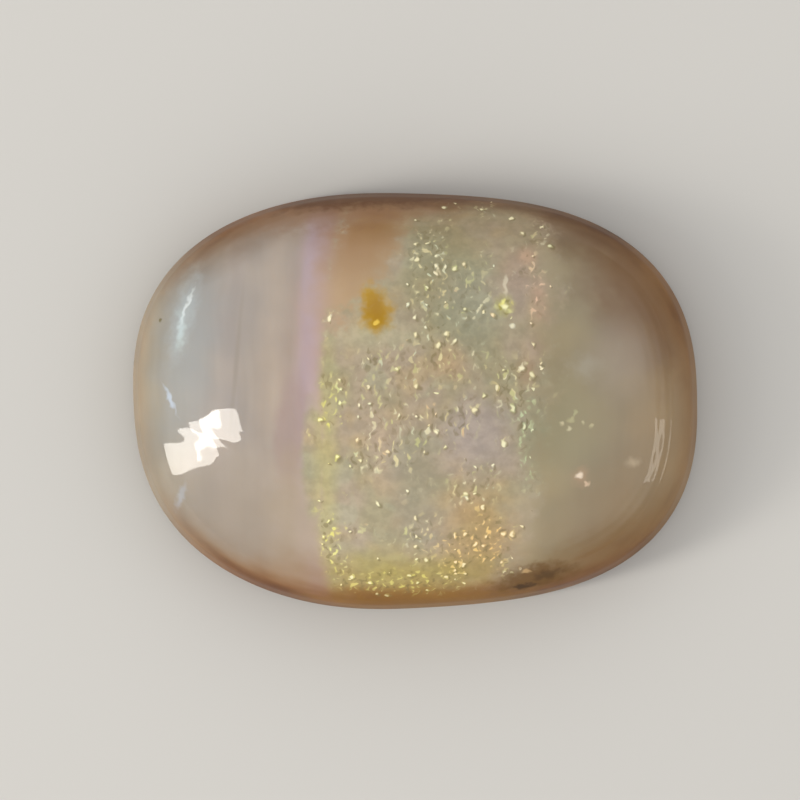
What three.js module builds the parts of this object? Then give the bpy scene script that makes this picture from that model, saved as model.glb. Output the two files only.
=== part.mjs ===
// A polished opal cabochon: one natural stone, cut to a cushion oval. Its face is a medium dome, a narrow
// side slopes in to a rounded shoulder below the dome, and a ground bevel leads from the side to the flat back.
// Millimetres, +Z up. The origin is the middle of the flat back, with +X along the stone's length
// and +Y along its width.

import * as THREE from "three";
import { mergeVertices } from "three/addons/utils/BufferGeometryUtils.js";

// Driving dimensions
const LENGTH = 16.0;
const WIDTH = 11.8;
const HEIGHT = 4.5;
const BEVEL_HEIGHT = 0.35; // top of the ground edge round the back
const SHOULDER_HEIGHT = 1.8; // where the side and the dome would meet without the rounding

// How far the profile stands in from the outline, as a share of the outline's radius
const BEVEL_INSET = 0.045;
const SHOULDER_INSET = 0.035;

// The rounded shoulder: how far up the side it starts, and how far out on the dome it ends
const ROUNDING_START = 0.62;
const ROUNDING_END = 0.9;

// Roundness: 2 is an ellipse, and a larger exponent is squarer
const OUTLINE_FULLNESS = 2.5;
const DOME_FULLNESS = 2.2;

// How far down a whole half ellipse the dome reaches before it meets the shoulder, as a share of its width
const DOME_REACH = 0.88;

// The unevenness of a hand-cut outline, as small waves on its radius
const OUTLINE_WAVES = [
  { perTurn: 2, cosine: 0, sine: -0.004 },
  { perTurn: 3, cosine: 0.0055, sine: 0.0037 },
  { perTurn: 4, cosine: 0, sine: -0.0045 },
  { perTurn: 5, cosine: -0.0042, sine: 0 },
];

// Facets
const STEPS_ROUND = 96;
const SHOULDER_RINGS = 6;
const DOME_RINGS = 13;

const OPAL_COLOUR = 0xa69a88;
const POLISH_ROUGHNESS = 0.08;

// The outline's radius at an angle from +X: a superellipse with the small waves on it.
function outlineRadius(angle) {
  const across = Math.abs(Math.cos(angle) / (LENGTH / 2)) ** OUTLINE_FULLNESS;
  const along = Math.abs(Math.sin(angle) / (WIDTH / 2)) ** OUTLINE_FULLNESS;
  const smooth = (across + along) ** (-1 / OUTLINE_FULLNESS);
  const wave = OUTLINE_WAVES.reduce(
    (sum, { perTurn, cosine, sine }) =>
      sum + cosine * Math.cos(perTurn * angle) + sine * Math.sin(perTurn * angle),
    1,
  );
  return smooth * wave;
}

// The dome's height over a ring. The ring's share is its size beside the outline's. The dome is the top of a half
// ellipse whose height falls as sqrt(1 - out ^ fullness), where out is the reach times share / shoulder share.
function domeHeight(share) {
  const fallen = (out) => 1 - Math.sqrt(1 - out ** DOME_FULLNESS);
  const out = (DOME_REACH * share) / (1 - SHOULDER_INSET);
  return HEIGHT - ((HEIGHT - SHOULDER_HEIGHT) * fallen(out)) / fallen(DOME_REACH);
}

// The rounded shoulder: a curve of the second degree from the side to the dome, pulled towards their corner.
function shoulderCurve() {
  const side = new THREE.Vector2(1, BEVEL_HEIGHT);
  const corner = new THREE.Vector2(1 - SHOULDER_INSET, SHOULDER_HEIGHT);
  const start = side.clone().lerp(corner, ROUNDING_START);
  const end = new THREE.Vector2(ROUNDING_END, domeHeight(ROUNDING_END));
  return new THREE.QuadraticBezierCurve(start, corner, end).getPoints(SHOULDER_RINGS);
}

// Half of the stone's section, from the middle of the back round to the top of the dome.
function sectionProfile() {
  const dome = Array.from({ length: DOME_RINGS }, (_, ring) => {
    const share = ROUNDING_END * (1 - (ring + 1) / DOME_RINGS);
    return new THREE.Vector2(share, domeHeight(share));
  });
  return [
    new THREE.Vector2(0, 0),
    new THREE.Vector2(1 - BEVEL_INSET, 0),
    new THREE.Vector2(1, BEVEL_HEIGHT),
    ...shoulderCurve(),
    ...dome,
  ];
}

// The section turned round the upright axis, then each point moved out to the outline's own radius.
function opalGeometry() {
  const turned = new THREE.LatheGeometry(sectionProfile(), STEPS_ROUND);
  turned.rotateX(Math.PI / 2);
  turned.deleteAttribute("normal");
  turned.deleteAttribute("uv");

  const points = turned.getAttribute("position");
  for (let i = 0; i < points.count; i++) {
    const radius = outlineRadius(Math.atan2(points.getY(i), points.getX(i)));
    points.setXY(i, points.getX(i) * radius, points.getY(i) * radius);
  }

  turned.computeBoundingBox();
  const size = turned.boundingBox.getSize(new THREE.Vector3());
  const middle = turned.boundingBox.getCenter(new THREE.Vector3());
  turned.translate(-middle.x, -middle.y, 0);
  turned.scale(LENGTH / size.x, WIDTH / size.y, 1);

  const joined = mergeVertices(turned);
  joined.computeVertexNormals();
  return joined;
}

const opal = new THREE.Mesh(
  opalGeometry(),
  new THREE.MeshStandardMaterial({
    color: OPAL_COLOUR,
    roughness: POLISH_ROUGHNESS,
    metalness: 0,
  }),
);
opal.name = "opal";

const cabochon = new THREE.Group();
cabochon.add(opal);

export default cabochon;
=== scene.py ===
import math
from types import SimpleNamespace

import bpy
import numpy as np
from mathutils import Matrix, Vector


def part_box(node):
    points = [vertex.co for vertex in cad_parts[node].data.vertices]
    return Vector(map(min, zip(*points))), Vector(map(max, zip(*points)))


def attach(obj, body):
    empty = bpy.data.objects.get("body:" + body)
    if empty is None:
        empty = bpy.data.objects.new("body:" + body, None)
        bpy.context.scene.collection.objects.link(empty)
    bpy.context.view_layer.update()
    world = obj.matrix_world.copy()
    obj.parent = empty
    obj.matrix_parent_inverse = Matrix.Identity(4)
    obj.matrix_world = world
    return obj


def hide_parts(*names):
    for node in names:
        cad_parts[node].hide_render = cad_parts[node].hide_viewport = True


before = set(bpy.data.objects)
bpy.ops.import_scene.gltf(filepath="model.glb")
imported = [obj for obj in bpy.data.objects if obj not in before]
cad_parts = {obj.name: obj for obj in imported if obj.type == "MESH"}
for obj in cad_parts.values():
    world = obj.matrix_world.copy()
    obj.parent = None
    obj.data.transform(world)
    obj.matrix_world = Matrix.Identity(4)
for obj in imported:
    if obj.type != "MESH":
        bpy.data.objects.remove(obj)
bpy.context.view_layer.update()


# The stone: one piece of natural opal, sawn to a cushion oval, ground on a wheel and polished by hand.
# Its face is a medium dome, a narrow side slopes in to a rounded shoulder, and the back is ground flat.
# It lies loose on its back, and nothing holds it.

STONE_LOW, STONE_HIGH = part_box("opal")
STONE_SIZE = np.array(STONE_HIGH) - np.array(STONE_LOW)
STONE_MIDDLE = (np.array(STONE_HIGH) + np.array(STONE_LOW)) / 2
MILLIMETRES = 1000.0  # in a metre
LENGTH, WIDTH, HEIGHT = STONE_SIZE * MILLIMETRES  # every size of the stone below is in millimetres

BEVEL_HEIGHT = 0.35
SHOULDER_HEIGHT = 1.8
BEVEL_INSET = 0.045  # a share of the outline's radius, as the next one is
SHOULDER_INSET = 0.035
ROUNDING_START = 0.62  # how far up the side the rounded shoulder begins
ROUNDING_END = 0.9  # how far out on the dome it ends
OUTLINE_FULLNESS = 2.5  # 2 is an ellipse, and more is squarer
DOME_FULLNESS = 2.2
DOME_REACH = 0.88  # how far down a whole half ellipse the dome goes

# Waves on the outline's radius: how many to a turn, and their cosine and sine sizes
OUTLINE_WAVES = np.array([
    [2, 0.0, -0.004],
    [3, 0.0055, 0.0037],
    [4, 0.0, -0.0045],
    [5, -0.0042, 0.0],
])

STEPS_ROUND = 512
BACK_RINGS = 20
BEVEL_RINGS = 9
SIDE_RINGS = 18
SHOULDER_RINGS = 26
DOME_RINGS = 110
DOME_CROWDING = 1.5  # above 1, the dome's rings lie closer together near the shoulder
EDGE_ROUNDING = 2.2  # rings over which the two edges of the bevel are worn round
WEAR_REACH = 8  # rings to either side that the wearing takes in
UNWORN_RINGS = 10  # rings in the middle of the back that stay as they are


def outline_radius(turn):
    """The outline's radius at an angle: a superellipse of the stone's length and width, times one plus small
    waves, each a cosine and a sine of a whole number of turns."""
    across = np.abs(np.cos(turn) / (LENGTH / 2)) ** OUTLINE_FULLNESS
    along = np.abs(np.sin(turn) / (WIDTH / 2)) ** OUTLINE_FULLNESS
    count, cosine, sine = OUTLINE_WAVES[:, :, None].transpose(1, 0, 2)
    wave = (cosine * np.cos(count * turn) + sine * np.sin(count * turn)).sum(axis=0)
    return (across + along) ** (-1 / OUTLINE_FULLNESS) * (1 + wave)


def dome_height(share):
    """The dome's height over a ring: the top of a half ellipse, falling as one minus the square root of one
    minus out to the fullness, where out is the reach times the ring's share over the shoulder's."""
    out = DOME_REACH * share / (1 - SHOULDER_INSET)
    whole_fall = 1 - np.sqrt(1 - DOME_REACH ** DOME_FULLNESS)
    fall = 1 - np.sqrt(1 - out ** DOME_FULLNESS)
    return HEIGHT - (HEIGHT - SHOULDER_HEIGHT) * fall / whole_fall


def stone_section():
    """Half of the section from the middle of the back to the top of the dome, as a share of the outline's
    radius and a height: straight back, bevel and side, a second-degree curve over the shoulder, and the
    dome. A running mean with bell weights then wears the bevel's two edges round, and the widest ring is
    set back to one."""
    back_edge = np.array([1 - BEVEL_INSET, 0])
    bevel_top = np.array([1, BEVEL_HEIGHT])
    corner = np.array([1 - SHOULDER_INSET, SHOULDER_HEIGHT])
    curve_start = bevel_top + ROUNDING_START * (corner - bevel_top)
    curve_end = np.array([ROUNDING_END, dome_height(ROUNDING_END)])
    back = np.linspace([0, 0], back_edge, BACK_RINGS, endpoint=False)
    bevel = np.linspace(back_edge, bevel_top, BEVEL_RINGS, endpoint=False)
    side = np.linspace(bevel_top, curve_start, SIDE_RINGS, endpoint=False)
    step = np.linspace(0, 1, SHOULDER_RINGS, endpoint=False)[:, None]
    shoulder = (1 - step) ** 2 * curve_start + 2 * step * (1 - step) * corner + step ** 2 * curve_end
    dome_share = ROUNDING_END * (1 - np.linspace(0, 1, DOME_RINGS) ** DOME_CROWDING)
    dome = np.stack([dome_share, dome_height(dome_share)], axis=1)
    section = np.concatenate([back, bevel, side, shoulder, dome])

    reach = np.arange(-WEAR_REACH, WEAR_REACH + 1)
    weights = np.exp(-0.5 * (reach / EDGE_ROUNDING) ** 2)
    weights = weights / weights.sum()
    padding = ((WEAR_REACH, WEAR_REACH), (0, 0))
    padded = np.pad(section, padding, mode="reflect", reflect_type="odd")
    worn = np.stack([np.convolve(column, weights, mode="valid") for column in padded.T], axis=1)
    ring = np.arange(len(section))
    near_edges = (ring > UNWORN_RINGS) & (ring < BACK_RINGS + BEVEL_RINGS + SIDE_RINGS)
    section[near_edges] = worn[near_edges]
    section[:, 0] = section[:, 0] / section[:, 0].max()
    return section


# The faint waves that hand polishing leaves on the face, from broad to fine
POLISH_WAVES = 22
POLISH_SLOPE = 0.0085
POLISH_LENGTHS = np.geomspace(4.0, 0.45, POLISH_WAVES)
POLISH_CHANCE = np.random.default_rng(11)
POLISH_TURNS = POLISH_CHANCE.uniform(0, 2 * math.pi, POLISH_WAVES)
POLISH_STARTS = POLISH_CHANCE.uniform(0, 2 * math.pi, POLISH_WAVES)
POLISH_FADE_LOW = 0.5  # the height above the shoulder over which the waves come in
POLISH_FADE_TOP = 0.4  # the height below the top over which they die away

# The wheel's last steps along the right-hand end: how deep, how far apart, at what angle, to which cosine on
# either side of it, and how far in from the outline they begin and end
WHEEL_STEP_DEPTH = 0.004
WHEEL_STEP_APART = 0.26
WHEEL_STEP_ANGLE = -0.25
WHEEL_STEP_COSINE = 2 / 3
WHEEL_STEP_NEAR = 0.3
WHEEL_STEP_NEAR_FADE = 1 / 3
WHEEL_STEP_FAR = 1.9
WHEEL_STEP_FAR_FADE = 1.0

# Small nicks in the upper left of the shoulder: angle, half width and depth
NICKS = np.array([
    [2.18, 0.020, 0.030],
    [2.31, 0.012, 0.020],
    [2.43, 0.026, 0.035],
    [2.60, 0.014, 0.025],
    [2.74, 0.022, 0.030],
    [2.86, 0.012, 0.018],
])
NICK_HEIGHT = SHOULDER_HEIGHT - 0.1
NICK_HALF_HEIGHT = 0.3


def stone_points(section, turn):
    """Points on a grid of rings by turns. Each is the ring's share of the outline's radius at that angle,
    at the ring's height. The face is lowered by the polish waves, which are sines in many directions, and
    by the wheel's steps, which are sines of the distance in from the outline. Both fade out at their ends.
    The nicks are bell-shaped notches in the shoulder. The whole is set to the stone's length and width."""
    share = section[:, :1]
    outline = outline_radius(turn)[None, :]
    radius = share * outline
    x = radius * np.cos(turn)
    y = radius * np.sin(turn)
    z = np.repeat(section[:, 1:], len(turn), axis=1)

    wave_rate = 2 * math.pi / POLISH_LENGTHS[:, None, None]
    across = np.cos(POLISH_TURNS)[:, None, None] * x + np.sin(POLISH_TURNS)[:, None, None] * y
    waves = np.sin(wave_rate * across + POLISH_STARTS[:, None, None]) + 1
    polish = (POLISH_SLOPE / wave_rate * waves).sum(axis=0)
    above_shoulder = np.clip((z - SHOULDER_HEIGHT) / POLISH_FADE_LOW, 0, 1)
    below_top = np.clip((HEIGHT - z) / POLISH_FADE_TOP, 0, 1)

    inward = outline - radius
    cosine = np.cos(turn - WHEEL_STEP_ANGLE)
    at_right = np.clip((cosine - WHEEL_STEP_COSINE) / (1 - WHEEL_STEP_COSINE), 0, 1)
    far_fade = np.clip((WHEEL_STEP_FAR - inward) / WHEEL_STEP_FAR_FADE, 0, 1)
    near_fade = np.clip((inward - WHEEL_STEP_NEAR) / WHEEL_STEP_NEAR_FADE, 0, 1)
    steps = WHEEL_STEP_DEPTH * (np.sin(2 * math.pi * inward / WHEEL_STEP_APART) + 1)
    z = z - polish * above_shoulder * below_top - steps * at_right * far_fade * near_fade

    bells = np.exp(-((turn[None, :] - NICKS[:, :1]) / NICKS[:, 1:2]) ** 2) * NICKS[:, 2:]
    nick = bells.sum(axis=0) * np.exp(-((z - NICK_HEIGHT) / NICK_HALF_HEIGHT) ** 2)
    x = x - nick * np.cos(turn)
    y = y - nick * np.sin(turn)
    x = (x - (x.max() + x.min()) / 2) * LENGTH / (x.max() - x.min())
    y = (y - (y.max() + y.min()) / 2) * WIDTH / (y.max() - y.min())
    return np.stack([x, y, z], axis=2)


# The flat map of the surface: two ovals, each with its middle and half length, that part at the bevel's top
MAP_SEAM = BACK_RINGS + BEVEL_RINGS
FACE_MAP_MIDDLE = [0.5, 0.645]
FACE_MAP_HALF = 0.46
BACK_MAP_MIDDLE = [0.5, 0.145]
BACK_MAP_HALF = 0.185


def stone_maps(section, turn):
    """The flat map of the face and side, and that of the back and bevel. On each, a point lies in an oval
    of the outline's shape, as far out as its share of the way along the section from the oval's middle. The
    last two places are the middle of the back and the top."""
    run = np.hypot(np.diff(section[:, 0]) * LENGTH / 2, np.diff(section[:, 1]))
    along = np.concatenate([[0], np.cumsum(run)])
    face_out = (along[-1] - along) / (along[-1] - along[MAP_SEAM])
    back_out = along / along[MAP_SEAM]
    fullness = outline_radius(turn) / np.hypot(LENGTH / 2 * np.cos(turn), WIDTH / 2 * np.sin(turn))
    oval = np.stack([np.cos(turn), np.sin(turn) * WIDTH / LENGTH], axis=1) * fullness[:, None]
    face_map = face_out[:, None, None] * oval * FACE_MAP_HALF + FACE_MAP_MIDDLE
    back_map = back_out[:, None, None] * oval * [-BACK_MAP_HALF, BACK_MAP_HALF] + BACK_MAP_MIDDLE
    ends = [BACK_MAP_MIDDLE, FACE_MAP_MIDDLE]
    return [np.concatenate([laid[1:-1].reshape(-1, 2), ends]) for laid in (face_map, back_map)]


def stone_mesh(name):
    """The stone's surface: quads between neighbouring rings and turns, closed by a fan of triangles at the
    middle of the back and at the top. Faces below the seam lie on the back's map and the others on the
    face's."""
    section = stone_section()
    turn = np.arange(STEPS_ROUND) * 2 * math.pi / STEPS_ROUND
    grid = stone_points(section, turn)
    rings = grid[1:-1]
    ring_count = len(rings)
    points = np.concatenate([rings.reshape(-1, 3), grid[0, :1], grid[-1, :1]]) / MILLIMETRES
    points[:, :2] = points[:, :2] + STONE_MIDDLE[:2]
    points[:, 2] = points[:, 2] + STONE_LOW[2]
    here = np.arange(ring_count * STEPS_ROUND).reshape(ring_count, STEPS_ROUND)
    beside = np.roll(here, -1, axis=1)
    quads = np.stack([here[:-1], beside[:-1], beside[1:], here[1:]], axis=2).reshape(-1, 4)
    back_middle = np.full(STEPS_ROUND, ring_count * STEPS_ROUND)
    top = back_middle + 1
    back_fan = np.stack([back_middle, beside[0], here[0]], axis=1)
    top_fan = np.stack([here[-1], beside[-1], top], axis=1)
    mesh = bpy.data.meshes.new(name)
    mesh.from_pydata(points.tolist(), [], quads.tolist() + back_fan.tolist() + top_fan.tolist())

    face_map, back_map = stone_maps(section, turn)
    corner_point = np.empty(len(mesh.loops), dtype=np.int32)
    mesh.loops.foreach_get("vertex_index", corner_point)
    corner_ring = np.concatenate([
        np.repeat(np.arange(1, ring_count), 4 * STEPS_ROUND),
        np.zeros(3 * STEPS_ROUND, dtype=int),
        np.full(3 * STEPS_ROUND, ring_count),
    ])
    on_back = corner_ring[:, None] < MAP_SEAM
    spread = np.where(on_back, back_map[corner_point], face_map[corner_point])
    mesh.uv_layers.new(name="OFBake").data.foreach_set("uv", spread.ravel())
    mesh.polygons.foreach_set("use_smooth", np.ones(len(mesh.polygons), dtype=bool))
    mesh.update()
    return mesh


def place(tree, kind, inputs, **settings):
    """Adds a node to a tree, gives it its settings, and fills each input with a value, or with a link where
    the value is another node's output."""
    node = tree.nodes.new(kind)
    for name, value in settings.items():
        setattr(node, name, value)
    for name, value in inputs.items():
        if isinstance(value, bpy.types.NodeSocket):
            tree.links.new(value, node.inputs[name])
        else:
            node.inputs[name].default_value = value
    return node


def number(tree, how, first, second=0.0, third=0.0):
    """One sum on two or three numbers, such as ADD, MULTIPLY or MAXIMUM."""
    return place(tree, "ShaderNodeMath", {0: first, 1: second, 2: third}, operation=how).outputs[0]


def vector(tree, how, first, second):
    """One sum on two vectors, such as ADD, SUBTRACT or MULTIPLY."""
    return place(tree, "ShaderNodeVectorMath", {0: first, 1: second}, operation=how).outputs[0]


def fade(tree, value, start, end, low=0.0, high=1.0):
    """A smooth step: low where the value is at the start, high at the end, and an S-shaped climb between
    them."""
    inputs = {"Value": value, "From Min": start, "From Max": end, "To Min": low, "To Max": high}
    return place(tree, "ShaderNodeMapRange", inputs, interpolation_type="SMOOTHSTEP").outputs[0]


def tint(tree, share, under, over, how="MIX"):
    """A colour laid over another: the under colour times one minus the share, plus the share of the over
    colour, or of the two colours' product where it says MULTIPLY."""
    inputs = {0: share, 6: under, 7: over}
    return place(tree, "ShaderNodeMix", inputs, data_type="RGBA", blend_type=how).outputs[2]


def noise(tree, where, scale, detail=2.0, roughness=0.5, kind="3D"):
    """Smooth noise about one half, with its features a millimetre over the scale across. Gives its
    two outputs, a number and a colour of three numbers."""
    inputs = {"Vector": where, "Scale": scale, "Detail": detail, "Roughness": roughness}
    return place(tree, "ShaderNodeTexNoise", inputs, noise_dimensions=kind).outputs


def ramp(tree, value, stops):
    """A row of colours along a value from 0 to 1, each at its own place, blended smoothly between."""
    node = place(tree, "ShaderNodeValToRGB", {0: value})
    row = node.color_ramp
    row.interpolation = "EASE"
    for spot, colour in stops[1:-1]:
        row.elements.new(spot).color = (*colour, 1)
    for end, (spot, colour) in ((0, stops[0]), (len(stops) - 1, stops[-1])):
        row.elements[end].position = spot
        row.elements[end].color = (*colour, 1)
    return node.outputs[0]


def group_with(name, inputs, outputs):
    """A node group with named inputs and outputs. Gives the group and its two end nodes."""
    group = bpy.data.node_groups.new(name, "ShaderNodeTree")
    for label, kind in inputs:
        group.interface.new_socket(label, in_out="INPUT", socket_type="NodeSocket" + kind)
    for label, kind in outputs:
        group.interface.new_socket(label, in_out="OUTPUT", socket_type="NodeSocket" + kind)
    return group, group.nodes.new("NodeGroupInput").outputs, group.nodes.new("NodeGroupOutput").inputs


def cloud_group():
    """A soft-edged patch in the stone: the place is scaled and shifted so that the patch is a ball with a
    radius of one, and the distance from its middle has an uneven value added for a ragged outline. The mask
    has the given strength inside, and falls to 0 over the edge's width."""
    inputs = [
        ("Where", "Vector"),
        ("Scale", "Vector"),
        ("Shift", "Vector"),
        ("Edge", "Float"),
        ("Uneven", "Float"),
        ("Strength", "Float"),
    ]
    group, given, made = group_with("soft_cloud", inputs, [("Mask", "Float")])
    scaling = {0: given["Where"], 1: given["Scale"], 2: given["Shift"]}
    scaled = place(group, "ShaderNodeVectorMath", scaling, operation="MULTIPLY_ADD").outputs[0]
    distance = place(group, "ShaderNodeVectorMath", {0: scaled}, operation="LENGTH").outputs["Value"]
    outer = number(group, "ADD", 1.0, given["Edge"])
    inner = number(group, "SUBTRACT", 1.0, given["Edge"])
    ragged = number(group, "ADD", distance, given["Uneven"])
    mask = fade(group, ragged, outer, inner, 0.0, given["Strength"])
    group.links.new(mask, made["Mask"])
    return group


SOFT_CLOUD = cloud_group()


def cloud(tree, where, uneven, middle, half_size, turn=0.0, edge=0.6, strength=1.0):
    """The mask of one soft patch, at a place in the stone in millimetres, with its turn in degrees. Its
    scale is one over its half size, and its shift is minus its middle over its half size."""
    if turn:
        spin = {"Vector": where, "Center": middle, "Angle": math.radians(-turn)}
        where = place(tree, "ShaderNodeVectorRotate", spin, rotation_type="Z_AXIS").outputs[0]
    inputs = {
        "Where": where,
        "Scale": [1 / half for half in half_size],
        "Shift": [-at / half for at, half in zip(middle, half_size)],
        "Edge": edge,
        "Uneven": uneven,
        "Strength": strength,
    }
    return place(tree, "ShaderNodeGroup", inputs, node_tree=SOFT_CLOUD).outputs["Mask"]


# How far a place drifts by broad noise and is pushed about by fine noise, and the waves to a millimetre
DRIFT = 0.6
DRIFT_PER_MM = 0.45
PUSH = 0.24
PUSH_PER_MM = 4.2

# The coarse and the fine noise that roughen edges: waves to a millimetre, and the share of a half size
COARSE_PER_MM = 1.2
FINE_PER_MM = 3.0
UNEVEN_EDGE = 0.8
TORN_EDGE = 1.2

# The layers lean: each is a plane that steps to the right as it falls, and a little as it goes back
LAYER_LEAN = 0.24
LAYER_SLANT = -0.037
LAYER_START = -8.7
LAYER_SPAN = 17.0


def centred_noise(tree, where, scale, roughness=0.6):
    """Smooth noise about nought: the noise less one half."""
    return number(tree, "SUBTRACT", noise(tree, where, scale, roughness=roughness)[0], 0.5)


def moved_place(tree, where, amount, scale):
    """The place moved by noise: the three numbers of a smooth noise, less one half, times the amount."""
    offset = vector(tree, "SUBTRACT", noise(tree, where, scale, detail=1.0)[1], (0.5, 0.5, 0.5))
    return vector(tree, "ADD", where, vector(tree, "MULTIPLY", offset, (amount, amount, amount)))


def shared_places(tree):
    """The places and uneven values that the colours share: the place in the stone in millimetres, the same
    drifted by broad noise and pushed about by fine noise, and the layer, which is the drifted length plus a
    lean with the height and a slant with the width."""
    position = tree.nodes.new("ShaderNodeTexCoord").outputs["Object"]
    where = vector(tree, "MULTIPLY", position, (MILLIMETRES, MILLIMETRES, MILLIMETRES))
    x, y, z = place(tree, "ShaderNodeSeparateXYZ", {0: where}).outputs
    drifted = moved_place(tree, where, DRIFT, DRIFT_PER_MM)
    drifted_x = place(tree, "ShaderNodeSeparateXYZ", {0: drifted}).outputs[0]
    coarse = centred_noise(tree, where, COARSE_PER_MM)
    fine = centred_noise(tree, where, FINE_PER_MM)
    lean = number(tree, "MULTIPLY", number(tree, "SUBTRACT", z, HEIGHT), LAYER_LEAN)
    slant = number(tree, "MULTIPLY", y, LAYER_SLANT)
    return SimpleNamespace(
        where=where,
        x=x,
        y=y,
        z=z,
        drifted=drifted,
        drifted_x=drifted_x,
        pushed=moved_place(tree, where, PUSH, PUSH_PER_MM),
        coarse=coarse,
        fine=fine,
        uneven=number(tree, "MULTIPLY", coarse, UNEVEN_EDGE),
        torn=number(tree, "MULTIPLY", fine, TORN_EDGE),
        lean=lean,
        layer=number(tree, "ADD", drifted_x, number(tree, "ADD", lean, slant)),
    )


# Colours of the layers from the left end to the right end, by their place along the stone
LAYER_COLOURS = [
    (-8.6, (0.30, 0.25, 0.185)),
    (-7.9, (0.30, 0.27, 0.215)),
    (-7.2, (0.325, 0.30, 0.255)),
    (-6.5, (0.32, 0.295, 0.27)),
    (-5.6, (0.33, 0.295, 0.272)),
    (-5.05, (0.34, 0.30, 0.267)),
    (-4.2, (0.37, 0.315, 0.27)),
    (-3.7, (0.37, 0.308, 0.27)),
    (-3.15, (0.40, 0.32, 0.335)),
    (-2.6, (0.45, 0.35, 0.275)),
    (-1.5, (0.43, 0.355, 0.235)),
    (2.5, (0.40, 0.335, 0.22)),
    (3.8, (0.335, 0.28, 0.17)),
    (4.8, (0.32, 0.265, 0.17)),
    (5.8, (0.345, 0.27, 0.17)),
    (6.6, (0.345, 0.255, 0.15)),
    (7.3, (0.285, 0.185, 0.10)),
    (8.2, (0.20, 0.115, 0.05)),
]

# Darker and lighter tones of the strands along the layers and of the milk between them
STRAND_STRETCH = (1.9, 0.10, 0.25)
STRAND_FADE = (-2.0, 4.0, 0.55, 0.25)  # as in each fade: start, end, and the value at each, else 0 and 1
STRAND_ROUGHNESS = 0.55
MILK_PER_MM = 0.55
MILK_ROUGHNESS = 0.55
MILK_APART = (2, 4, 8)  # sets this noise away from the others, as the shifts by that name below do
STRAND_TONES = [(0.3, (0.90, 0.90, 0.91)), (0.7, (1.08, 1.07, 1.06))]
MILK_TONES = [(0.3, (0.92, 0.93, 0.95)), (0.7, (1.07, 1.05, 1.02))]

# Clouds in the milky part, some of them painted shade: colour, how strong, middle, half size, turn and edge
MILKY_CLOUDS_AND_PAINTED_SHADE = [
    ((0.285, 0.30, 0.305), 0.7, (-6.4, 1.6, 2.6), (0.75, 2.6, 2.0), -8, 0.7),
    ((0.43, 0.335, 0.385), 0.75, (-2.8, 3.0, 3.3), (0.42, 2.6, 2.5), -3, 0.7),
    ((0.41, 0.345, 0.45), 0.55, (-2.95, 3.1, 3.6), (0.2, 1.7, 2.0), -3, 0.8),
    ((0.345, 0.26, 0.245), 0.65, (-3.5, -0.8, 4.0), (0.42, 1.55, 2.0), -5, 0.35),
    # The next two: brown clouds round the upper right rim, partly the rock's brown and partly painted shade
    ((0.17, 0.095, 0.05), 0.9, (6.6, 3.0, 2.2), (1.6, 2.2, 2.2), 35, 0.7),
    ((0.15, 0.10, 0.07), 0.75, (4.2, 5.3, 2.0), (2.6, 1.0, 1.6), -16, 0.7),
    ((0.27, 0.19, 0.105), 0.5, (5.5, -3.2, 2.8), (2.2, 1.3, 2.0), 33, 0.8),
    ((0.33, 0.30, 0.185), 0.6, (4.2, -0.7, 3.8), (0.9, 1.2, 2.0), 0, 0.7),
    ((0.39, 0.33, 0.27), 0.5, (5.8, 1.2, 3.2), (0.8, 0.9, 2.0), 0, 0.8),
    # The next three: brown clouds low round the rim, partly the rock's brown and partly painted shade
    ((0.22, 0.13, 0.05), 0.65, (5.6, -4.4, 1.9), (3.0, 0.9, 1.6), 28, 0.7),
    ((0.20, 0.14, 0.09), 0.7, (-5.6, 4.6, 1.8), (2.6, 0.8, 1.5), 30, 0.7),
    ((0.25, 0.16, 0.09), 0.75, (-6.0, -4.3, 1.7), (2.4, 0.7, 1.4), -32, 0.7),
    ((0.44, 0.35, 0.25), 0.7, (-3.3, -3.4, 3.4), (0.75, 1.8, 2.0), 0, 0.7),
    # Painted shade: darkens the lower left, which the left softbox lights most
    ((0.28, 0.23, 0.175), 0.6, (-5.0, -3.2, 2.6), (2.2, 1.8, 1.8), -20, 0.8),
    # A brown cloud at the lower rim, partly the rock's brown and partly painted shade
    ((0.30, 0.175, 0.085), 0.5, (-3.2, -5.2, 2.2), (2.6, 0.7, 1.6), 0, 0.8),
    ((0.26, 0.225, 0.19), 0.45, (-5.02, 1.0, 3.4), (0.06, 1.7, 1.5), -5, 0.8),
]

# Fine streaks in the milky part, with the same columns
MILKY_STREAKS = [
    ((0.42, 0.49, 0.52), 0.45, (-6.50, 2.40, 2.4), (0.24, 1.0, 1.5), -14, 0.9),
    ((0.64, 0.70, 0.72), 0.7, (-6.44, 2.64, 2.5), (0.05, 0.50, 1.5), -22, 0.7),
    ((0.50, 0.60, 0.62), 0.6, (-6.60, 1.98, 2.4), (0.10, 0.42, 1.5), -4, 0.8),
    ((0.48, 0.56, 0.68), 0.7, (-6.90, 0.05, 2.5), (0.06, 0.34, 1.5), 26, 0.7),
    ((0.38, 0.42, 0.48), 0.5, (-6.60, -2.7, 2.3), (0.09, 0.36, 1.5), -20, 0.8),
]

# The warm clear wedge at the band's upper left, and its tones from its lower end to its upper
WEDGE_MIDDLE = (-1.55, 4.2, 3.0)
WEDGE_HALF_SIZE = (1.0, 2.6, 3.0)
WEDGE_FADE = (2.2, 5.6)
WEDGE_TONES = [(0.0, (0.44, 0.295, 0.16)), (1.0, (0.31, 0.165, 0.06))]


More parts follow.
